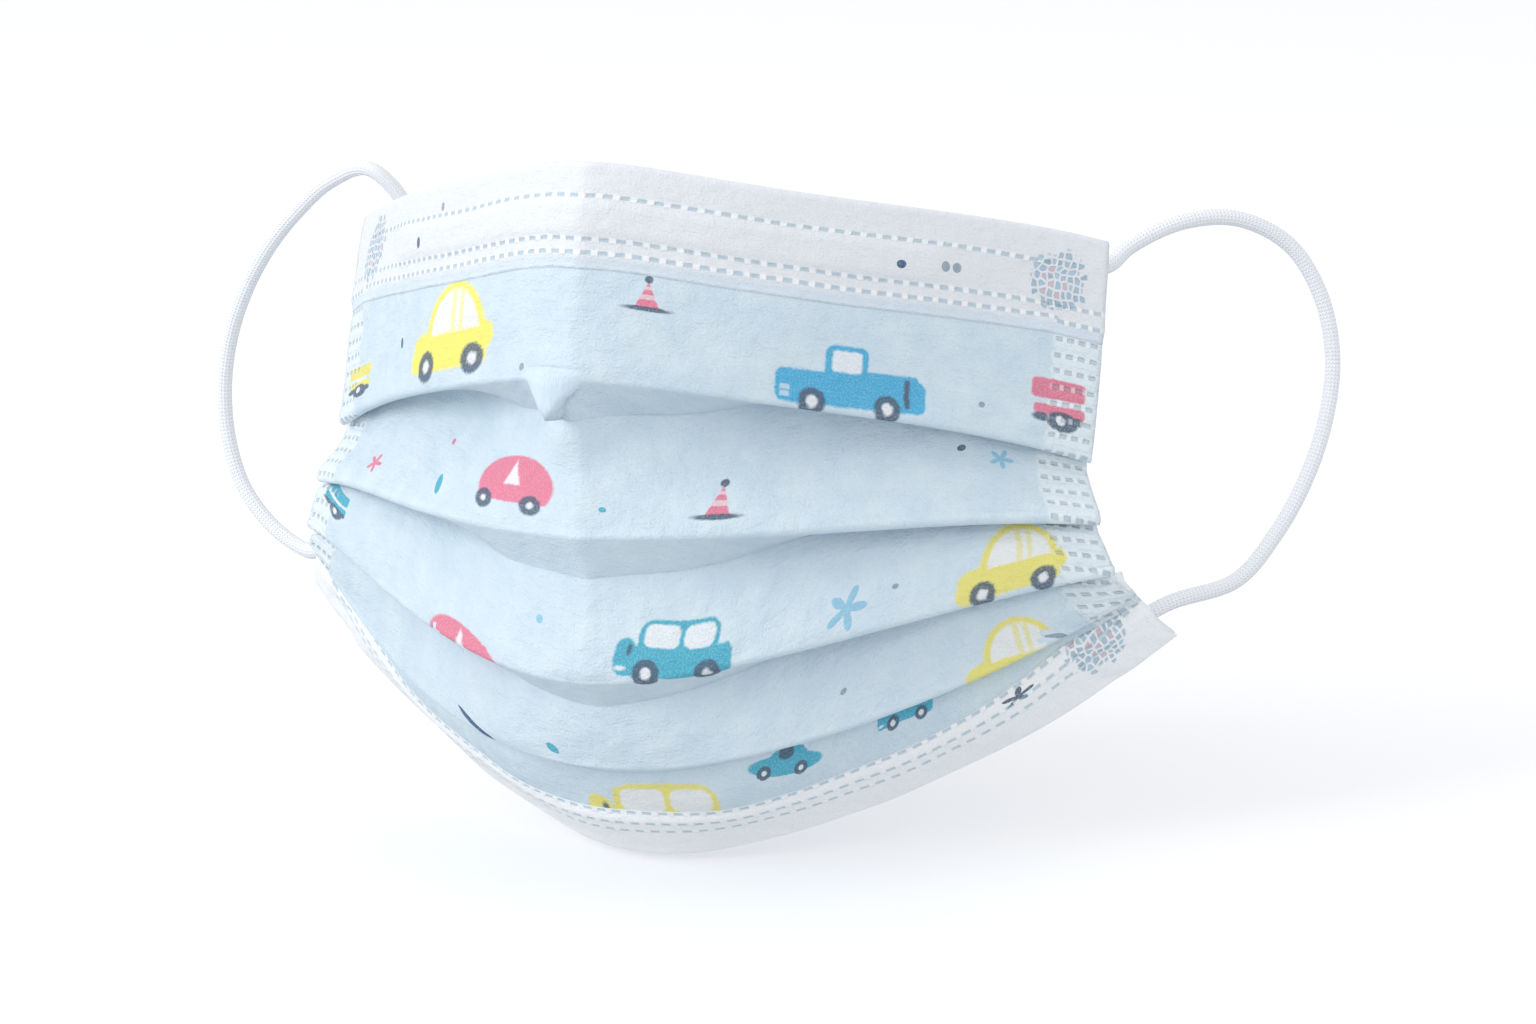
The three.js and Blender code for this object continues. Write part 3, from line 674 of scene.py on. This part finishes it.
# %% A socket that understands arithmetic
class Value:
    """One output socket of a node tree, with Python's operators as Math nodes."""

    def __init__(self, tree, socket):
        self.tree, self.socket = tree, socket

    def node(self, kind, settings=None, out=0, **inputs):
        """Any node: its type, its settings first, then values or links by socket name or index."""
        made = self.tree.nodes.new(kind)
        for key, value in (settings or {}).items():
            setattr(made, key, value)
        for key, value in inputs.items():
            key = int(key[1:]) if key[0] == "i" and key[1:].isdigit() else key.replace("_", " ")
            target = made.inputs[key]
            if isinstance(value, Value):
                self.tree.links.new(value.socket, target)
            else:
                target.default_value = value
        return Value(self.tree, made.outputs[out])

    def math(self, operation, *others, clamp=False):
        values = (self,) + others
        return self.node("ShaderNodeMath", {"operation": operation, "use_clamp": clamp},
                         **{f"i{k}": v for k, v in enumerate(values)})

    def vector(self, operation, other=(0.0, 0.0, 0.0), out=0):
        return self.node("ShaderNodeVectorMath", {"operation": operation}, out=out, i0=self, i1=other)

    def __add__(self, other):
        return self.math("ADD", other)

    def __sub__(self, other):
        return self.math("SUBTRACT", other)

    def __mul__(self, other):
        return self.math("MULTIPLY", other)

    def __truediv__(self, other):
        return self.math("DIVIDE", other)

    def __rsub__(self, other):
        return (self * -1.0) + other

    __radd__, __rmul__ = __add__, __mul__

    def least(self, other):
        return self.math("MINIMUM", other)

    def most(self, other):
        return self.math("MAXIMUM", other)

    def clamped(self):
        return self.math("ADD", 0.0, clamp=True)

    def inside(self, soft):
        """A signed distance in mm as a mask: one inside, zero outside, soft over its edge."""
        return (0.5 - self / soft).clamped()

    def noise(self, **inputs):
        """A noise texture read at this place."""
        return self.node("ShaderNodeTexNoise", None, Vector=self, **inputs)

    def read(self, name, out):
        """A named attribute of the mesh: its colour, vector or number is output 0, 1 or 2."""
        return self.node("ShaderNodeAttribute", {"attribute_name": name}, out=out)

    def parts(self):
        made = self.node("ShaderNodeSeparateXYZ", i0=self).socket.node
        return [Value(self.tree, socket) for socket in made.outputs]

    def colour_mix(self, low, high):
        """Two colours mixed by this value."""
        return self.node("ShaderNodeMix", {"data_type": "RGBA"}, out=2, i0=self, i6=low, i7=high)


def rgb(r, g, b):
    """An sRGB colour of 0 to 255 as the linear RGBA that Blender wants."""
    return tuple(linear(v) for v in (r, g, b)) + (1.0,)


def start_material(name, **sockets):
    """A new Principled material with its constant values set on its own sockets, and the place
    on the cloth in mm as a Value."""
    material = bpy.data.materials.new(name)
    material.use_nodes = True
    shader = material.node_tree.nodes["Principled BSDF"]
    for key, value in sockets.items():
        shader.inputs[key.replace("_", " ")].default_value = value
    uv = material.node_tree.nodes.new("ShaderNodeUVMap")
    uv.uv_map = "cloth"
    mm = Value(material.node_tree, uv.outputs[0]).vector("SUBTRACT", (0.5, 0.5, 0.0))
    mm = mm.node("ShaderNodeVectorMath", {"operation": "SCALE"}, Vector=mm, Scale=UV_SPAN)
    return material, mm


print("shader helpers ready")

# %% [markdown]
# ## Drawing with distances
# A signed distance is negative inside a shape and positive outside. The smaller of two joins
# them, and the larger keeps what they share. All drawings live in a box one unit high, with
# x measured from its middle and y from its foot.

# %% Shapes and combinations
def circle(p, x, y, r):
    """Distance from a point, less the radius."""
    return p.vector("DISTANCE", (x, y, 0.0), out=1) - r


def oval(p, x, y, rx, ry):
    """The plane squeezed until the oval is a unit circle, scaled back by its smaller radius."""
    away = p.vector("SUBTRACT", (x, y, 0.0)).vector("DIVIDE", (rx, ry, 1.0))
    return (away.vector("LENGTH", out=1) - 1.0) * min(rx, ry)


def block(p, x0, x1, y0, y1, r=0.0):
    """A rounded rectangle: length of what lies beyond the inner rectangle, less the radius."""
    middle, half = ((x0 + x1) / 2, (y0 + y1) / 2, 0.0), ((x1 - x0) / 2 - r, (y1 - y0) / 2 - r, 0.0)
    beyond = p.vector("SUBTRACT", middle).vector("ABSOLUTE").vector("SUBTRACT", half)
    return beyond.vector("MAXIMUM", (0.0, 0.0, 0.0)).vector("LENGTH", out=1) - r - 0.004


def slab(p, along, most):
    """Half plane where the dot product with a direction stays under a limit."""
    return p.vector("DOT_PRODUCT", tuple(along) + (0.0,), out=1) - most


def join(*shapes):
    """The smallest of the distances."""
    return reduce(Value.least, shapes)


def share(*shapes):
    """The largest of the distances."""
    return reduce(Value.most, shapes)


print("shapes: circle, oval, block, slab, join, share")


# %% The drawings: each gives its ink, dark and white parts
def wheels(p, left, right, r, hub):
    """Two dark wheels that stand on the foot line, and their white hubs."""
    return (join(circle(p, left, r, r), circle(p, right, r, r)),
            join(circle(p, left, r, hub), circle(p, right, r, hub)))


def dome_car(p):
    tyres, hubs = wheels(p, -0.36, 0.40, 0.16, 0.065)
    sill = block(p, -0.68, 0.60, 0.10, 0.36, 0.10)
    low = join(sill, oval(p, -0.40, 0.36, 0.26, 0.16), oval(p, 0.54, 0.38, 0.15, 0.16))
    shell = join(low, share(oval(p, 0.10, 0.40, 0.48, 0.59), slab(p, (0, -1), -0.3)))
    glass = share(oval(p, 0.10, 0.42, 0.39, 0.49), slab(p, (0, -1), -0.47))
    pillars = join(block(p, 0.08, 0.13, 0.4, 1.0), block(p, 0.21, 0.25, 0.4, 1.0))
    return shell, tyres, join(share(glass, pillars * -1.0), hubs)


def pickup(p):
    tyres, hubs = wheels(p, -0.55, 0.51, 0.187, 0.08)
    bed, cab = block(p, 0.0, 0.96, 0.3, 0.67, 0.08), block(p, -0.38, 0.22, 0.4, 0.99, 0.12)
    shell = join(block(p, -1.06, 1.06, 0.15, 0.60, 0.12), bed, cab)
    grille = block(p, 0.76, 0.83, 0.22, 0.62, 0.02)
    lights = join(block(p, -0.98, -0.87, 0.22, 0.27), block(p, -0.98, -0.87, 0.31, 0.36))
    return shell, join(tyres, grille), join(block(p, -0.28, 0.13, 0.63, 0.92, 0.05), lights, hubs)


def round_car(p):
    tyres, hubs = wheels(p, -0.45, 0.33, 0.16, 0.05)
    shell = share(oval(p, 0.0, 0.46, 0.65, 0.52), slab(p, (0, -1), -0.18))
    window = share(slab(p, (0.95, 0.30), 0.26), slab(p, (-0.95, 0.30), 0.28), slab(p, (0, -1), -0.47))
    return shell, tyres, join(window, hubs)


def saloon(p):
    tyres, hubs = wheels(p, -0.37, 0.56, 0.205, 0.085)
    low, cabin = block(p, -0.88, 0.93, 0.16, 0.60, 0.14), block(p, -0.55, 0.69, 0.4, 1.0, 0.22)
    shell = join(low, cabin, circle(p, -0.72, 0.56, 0.15))
    windows = join(block(p, -0.46, 0.07, 0.59, 0.93, 0.10), block(p, 0.15, 0.62, 0.59, 0.93, 0.12))
    mirror, lamp = oval(p, -0.66, 0.54, 0.04, 0.08), oval(p, -0.77, 0.26, 0.08, 0.035)
    return shell, join(tyres, mirror), join(windows, lamp, hubs)


def cone(p):
    sides = share(slab(p, (0.93, 0.36), 0.30), slab(p, (-0.93, 0.36), 0.30), slab(p, (0, -1), -0.10))
    bands = share(sides, join(block(p, -0.3, 0.3, 0.34, 0.46), block(p, -0.3, 0.3, 0.62, 0.68)))
    return sides, join(oval(p, 0.0, 0.07, 0.55, 0.07), circle(p, 0.0, 0.89, 0.10)), bands


def truck(p):
    bars = join(block(p, -0.5, 0.5, 0.62, 0.98, 0.08), block(p, -0.44, 0.5, 0.30, 0.50, 0.06))
    bumpers = join(oval(p, -0.3, 0.24, 0.18, 0.08), oval(p, 0.38, 0.26, 0.12, 0.08))
    pale = join(circle(p, 0.05, 0.22, 0.09), block(p, -0.15, 0.2, 0.50, 0.58))
    return bars, join(oval(p, 0.08, 0.2, 0.3, 0.19), bumpers), pale


def star(p):
    """A radius that swings five times round the middle."""
    away = p.vector("SUBTRACT", (0.0, 0.5, 0.0))
    x, y, _ = away.parts()
    swing = (y.math("ARCTAN2", x) * 5.0 + 0.6).math("COSINE") * 0.19 + 0.33
    return away.vector("LENGTH", out=1) - swing, None, None


def speck(p):
    return oval(p, 0.0, 0.5, 0.5, 0.5), None, None


def racer(p):
    tyres, hubs = wheels(p, -0.62, 0.66, 0.24, 0.09)
    shell = join(oval(p, 0.1, 0.42, 1.3, 0.34), oval(p, 0.15, 0.62, 0.7, 0.34))
    return shell, join(tyres, oval(p, 0.05, 0.78, 0.28, 0.18)), hubs


DRAWINGS = ((DOME_CAR, dome_car), (PICKUP, pickup), (ROUND_CAR, round_car), (SALOON, saloon),
            (CONE, cone), (TRUCK, truck), (STAR, star), (SPECK, speck), (RACER, racer))


def printed_over(mm, colour):
    """A cloth colour with the stamps printed on it, mottled where ink missed the fibres."""
    across, down, _ = mm.parts()
    place = mm.node("ShaderNodeCombineXYZ", None, X=across, Y=down + UV_MIDDLE, Z=1.0)
    x, y = (place.vector("DOT_PRODUCT", mm.read(name, 1), out=1) for name in ("stamp_x", "stamp_y"))
    rough = mm.noise(Scale=1.3, Detail=2.0)
    uneven = (rough - 0.5) * 0.05
    p = mm.node("ShaderNodeCombineXYZ", None, X=x + uneven, Y=y + uneven, Z=0.0)
    kind, parts = mm.read("stamp_kind", 2), [None, None, None]
    for number, draw in DRAWINGS:
        here = kind.math("COMPARE", float(number), 0.5)
        for k, distance in enumerate(draw(p)):
            if distance is not None:
                mask = distance.inside(0.035) * here
                parts[k] = mask if parts[k] is None else parts[k] + mask
    speckle = mm.noise(Scale=3.4, Detail=2.0)
    cover = ((speckle - 0.36) * 6.0).clamped() * 0.22 + 0.76
    ink, dark, white = (part * cover for part in parts)
    colour = ink.colour_mix(colour, mm.read("stamp_ink", 0))
    colour = dark.colour_mix(colour, rgb(*SLATE))
    return white.colour_mix(colour, rgb(238, 241, 246))


print(len(DRAWINGS), "drawings")

# %% [markdown]
# ## Cloth finishes
# Spun-bonded cloth is matt, slightly crinkled along its width, and never one flat colour. The
# welds are small pressed rectangles in rows: the cloth is thin and bluish inside them, darkened further by
# painted shade for the recess, and it puffs up between them, where a painted highlight lightens it.

# %% Relief and welds
WHITE = rgb(232, 237, 244)
WELD_PITCH, SEAL_PITCH, SEAL_START, SEAM_ZONE = 2.6, 2.5, 0.4, 8.6


def fibres(mm, strength=1.0):
    """Height in mm: crinkles that run across the mask, soft lumps, and a fine grain."""
    stretched = mm.vector("MULTIPLY", (0.22, 1.0, 1.0))
    crinkle = stretched.noise(Scale=1.5, Detail=2.0)
    grain = mm.noise(Scale=2.4, Detail=3.0, Roughness=0.65)
    lumps = mm.noise(Scale=0.30, Detail=1.0)
    return (crinkle * 0.18 + grain * 0.34 + lumps * 0.7) * strength


def repeat(value, pitch, offset=0.0):
    """Signed place within the nearest repeat of a pattern."""
    return ((value + offset) / pitch + 0.5).math("FRACT").math("SUBTRACT", 0.5) * pitch


def dashes(across, away, pitch, length, height):
    """Pressed rectangles along a line: their mask, and the mask of the puffs between them."""
    x = repeat(across, pitch).math("ABSOLUTE") - length / 2
    y = away.math("ABSOLUTE") - height / 2
    return x.most(y).inside(0.25), (y - 0.16).inside(0.3) * (x * -1.0 + 0.12).inside(0.25)


def honeycomb(mm, across, down, radius):
    """Irregular pressed cells inside a ragged disc, from the distance to Voronoi edges."""
    flat, net = {"voronoi_dimensions": "2D"}, {"Vector": mm, "Scale": 0.80, "Randomness": 0.55}
    cells = mm.node("ShaderNodeTexVoronoi", {**flat, "feature": "DISTANCE_TO_EDGE"}, **net)
    tone = mm.node("ShaderNodeTexVoronoi", flat, out=1, **net)
    away = mm.vector("DISTANCE", (across, down - UV_MIDDLE, 0.0), out=1) - radius
    ragged = away + (tone.parts()[0] - 0.5) * 2.0
    return (cells * -1.0 + 0.17).inside(0.14) * ragged.inside(0.4), tone


def finish(material, mm, colour, height):
    """Connect a colour, and a height in mm as a bump."""
    shader = mm.tree.nodes["Principled BSDF"]
    bump = mm.node("ShaderNodeBump", None, Strength=1.0, Distance=MM, Height=height)
    for socket, value in (("Base Color", colour), ("Normal", bump)):
        mm.tree.links.new(value.socket, shader.inputs[socket])
    print(material.name, "done")
    return material


def seam_dots(seam, down):
    """The grid of welds along the side seams: four columns of short dashes, with puffs between
    them, and the mask of the whole zone."""
    zone = (seam - SEAM_ZONE).inside(1.0)
    dots, puffs = dashes(seam - 1.4, repeat(down, SEAL_PITCH, SEAL_START), 2.1, 1.05, 0.56)
    return dots * zone, puffs * zone, zone


# %% Printed cloth, lining, hems and cord
def printed_cloth():
    material, mm = start_material("printed_cloth", Roughness=0.9, Specular_IOR_Level=0.25)
    across, down, _ = mm.parts()
    seam = mm.read("seam", 2)
    dots, puffs, zone = seam_dots(seam, down + UV_MIDDLE)
    mottle = mm.noise(Scale=0.16, Detail=2.0)
    cloudy = ((mottle - 0.35) * 2.2).clamped()
    base = cloudy.colour_mix(rgb(208, 225, 237), rgb(220, 233, 241))
    base = (zone * 0.50).colour_mix(base, rgb(244, 250, 253))
    # Painted highlight: the puffs between the side-seam welds are lightened towards white. The welds' slate
    # blue is partly the thin pressed cloth and partly painted shade in their recesses.
    colour = (puffs * 0.42).colour_mix(printed_over(mm, base), rgb(248, 252, 254))
    colour = (dots * 0.42).colour_mix(colour, rgb(150, 174, 196))
    quilt = repeat(down + UV_MIDDLE, SEAL_PITCH, SEAL_START).math("ABSOLUTE") * zone
    height = fibres(mm) - dots * 0.20 + puffs * 0.10 + zone * 0.12 + quilt * 0.25
    return finish(material, mm, colour, height)


def hem_cloth(name, white, weld_rows, tint_from, patches):
    """White strip: rows of dashes at given distances from the edge, seam dots below the last
    but one, a blue tint where the printed cloth shows through, and honeycomb patches."""
    material, mm = start_material(name, Roughness=0.9, Specular_IOR_Level=0.25)
    across, down, _ = mm.parts()
    down = down + UV_MIDDLE
    seam = mm.read("seam", 2)
    rows = [dashes(across, down - row, WELD_PITCH, 1.30, 0.55) for row in weld_rows]
    dash, puff = (reduce(Value.__add__, masks) for masks in zip(*rows))
    clear = (seam * -1.0 + 8.2).inside(0.4)
    dash, puff = dash * clear, puff * clear
    dots, soft, _ = seam_dots(seam, down)
    low = (down * -1.0 + weld_rows[1] - 1.6).inside(0.4)
    dots, soft = dots * low, soft * low
    combs, tones = zip(*(honeycomb(mm, *place) for place in patches))
    comb = reduce(Value.__add__, combs)
    colour = ((down * -1.0) + tint_from).inside(0.5).colour_mix(white, rgb(221, 232, 242))
    colour = printed_over(mm, colour)
    # Painted highlight: the puffs between the welds are lightened towards white. The blue of the dashes and
    # dots is partly the thin strip over the blue cloth and partly painted shade in their recesses.
    colour = ((puff + soft) * 0.7).clamped().colour_mix(colour, rgb(248, 251, 254))
    colour = ((dash + dots) * 0.62).clamped().colour_mix(colour, rgb(158, 192, 210))
    pick, shade, _ = tones[-1].parts()
    cells = shade.colour_mix(rgb(156, 196, 218), rgb(120, 158, 188))
    cells = (pick - 0.88).math("GREATER_THAN", 0.0).colour_mix(cells, rgb(198, 170, 188))
    colour = (comb * 0.7).colour_mix(colour, cells)
    height = fibres(mm) * 0.8 - (dash + dots + comb) * 0.14 + (puff + soft) * 0.10
    return finish(material, mm, colour, height)


def plain_cloth(name, colour, strength):
    material, mm = start_material(name, Roughness=0.9, Specular_IOR_Level=0.2)
    mottle = mm.noise(Scale=0.2, Detail=2.0)
    return finish(material, mm, mottle.colour_mix(colour, rgb(246, 248, 251)), fibres(mm, strength))


def knitted():
    """Round knit: wales run along the cord, and each stitch is a short slanting rib."""
    material, mm = start_material("knitted_elastic", Roughness=0.8, Specular_IOR_Level=0.3)
    turn, run, _ = mm.parts()
    wale = repeat(turn, UV_SPAN / 14.0).math("ABSOLUTE") / (UV_SPAN / 28.0)
    stitch = repeat(run + wale * 0.35, 0.62).math("ABSOLUTE") / 0.31
    height = (wale * -1.0 + 1.0) * 0.10 + (stitch * -1.0 + 1.0) * 0.07
    shade = (wale * 0.5 + stitch * 0.5).colour_mix(rgb(246, 247, 250), rgb(228, 231, 238))
    return finish(material, mm, shade, height)


def wire_metal():
    """Drawn aluminium: bright, with fine scratches along the wire."""
    material, mm = start_material("flat_wire_metal", Metallic=1.0, Roughness=0.35)
    stretched = mm.vector("MULTIPLY", (0.1, 4.0, 1.0))
    scratches = stretched.noise(Scale=2.0)
    colour = scratches.colour_mix(rgb(215, 217, 220), rgb(190, 193, 198))
    return finish(material, mm, colour, scratches * 0.01)


printed, lining = printed_cloth(), plain_cloth("white_lining", WHITE, 0.5)
NOSE_PATCHES = ((80.4, 8.4, 4.7), (-76.5, 8.0, 5.2))     # across, down and radius of each
CHIN_PATCHES = ((79.0, 10.0, 5.2),)
# Both strips are one white cloth. The chin strip's white is painted lighter than the nose strip's: painted
# light for the chin strip, which faces down and gets less light.
nose_cloth = hem_cloth("nose_hem_cloth", rgb(229, 232, 237), (5.5, 12.0, 14.1), 14.9, NOSE_PATCHES)
chin_cloth = hem_cloth("chin_hem_cloth", rgb(246, 248, 251), (7.6, 9.9, 12.1), 12.5, CHIN_PATCHES)
knit, aluminium = knitted(), wire_metal()
DRESS = ((body, (printed, lining)), (top_hem, (nose_cloth, lining)), (chin_hem, (chin_cloth, lining)),
         (wire, (aluminium, aluminium)), (loop_right, (knit,)), (loop_left, (knit,)))
for piece, materials in DRESS:
    for material in materials:
        piece.data.materials.append(material)
print("materials:", [m.name for m in bpy.data.materials])

# %% [markdown]
# ## Floor and light
# The mask stands on its chin on a white table. A large soft light from the upper left, a weak one
# from the right and a white room give soft shading, and only a faint shadow under the chin.

# %% Floor, lamps and world
FLOOR_Z, FLOOR_HALF = -0.1138, 3.0
SKY, GROUND = (1.02, 1.02, 1.02, 1.0), (0.66, 0.71, 0.75, 1.0)


def make_floor():
    """One white square, a hair under the chin."""
    mesh = bpy.data.meshes.new("floor")
    corners = [(x * FLOOR_HALF, y * FLOOR_HALF, FLOOR_Z) for x, y in ((-1, -1), (1, -1), (1, 1), (-1, 1))]
    mesh.from_pydata(corners, [], [(0, 1, 2, 3)])
    floor = add_object("floor", mesh)
    sockets = {"Base_Color": rgb(247, 247, 249), "Roughness": 0.9, "Specular_IOR_Level": 0.1}
    mesh.materials.append(start_material("white_table", **sockets)[0])
    floor.visible_diffuse = False     # the white table shows, and the room alone lights the cloth


def make_lamp(name, place, aim, size, power):
    """A square area lamp that looks at a point."""
    data = bpy.data.lights.new(name, "AREA")
    data.shape, data.size, data.energy = "SQUARE", size, power
    lamp = add_object(name, data)
    back = unit(np.array(place, dtype=float) - np.array(aim, dtype=float))
    right = unit(np.cross([0.0, 0.0, 1.0], back))
    lamp.matrix_world = matrix_of(right, np.cross(back, right), back, place)


make_floor()
make_lamp("key", (-1.05, -0.95, 0.7), (0, 0, -0.05), 0.9, 11.6)
make_lamp("fill", (1.0, -0.9, 0.7), (0, 0, -0.05), 1.0, 2.2)


def make_world():
    """A white room that is brighter above than below: colour mixed by the height of the
    direction, from GROUND straight down to SKY straight up."""
    world = bpy.data.worlds.new("white_room")
    bpy.context.scene.world = world
    world.use_nodes = True
    tree = world.node_tree
    direction = Value(tree, tree.nodes.new("ShaderNodeTexCoord").outputs["Generated"])
    height = direction.parts()[2]
    colour = (height * 0.5 + 0.5).colour_mix(GROUND, SKY)
    tree.links.new(colour.socket, tree.nodes["Background"].inputs["Color"])


make_world()
bpy.context.scene.view_settings.view_transform = "Standard"
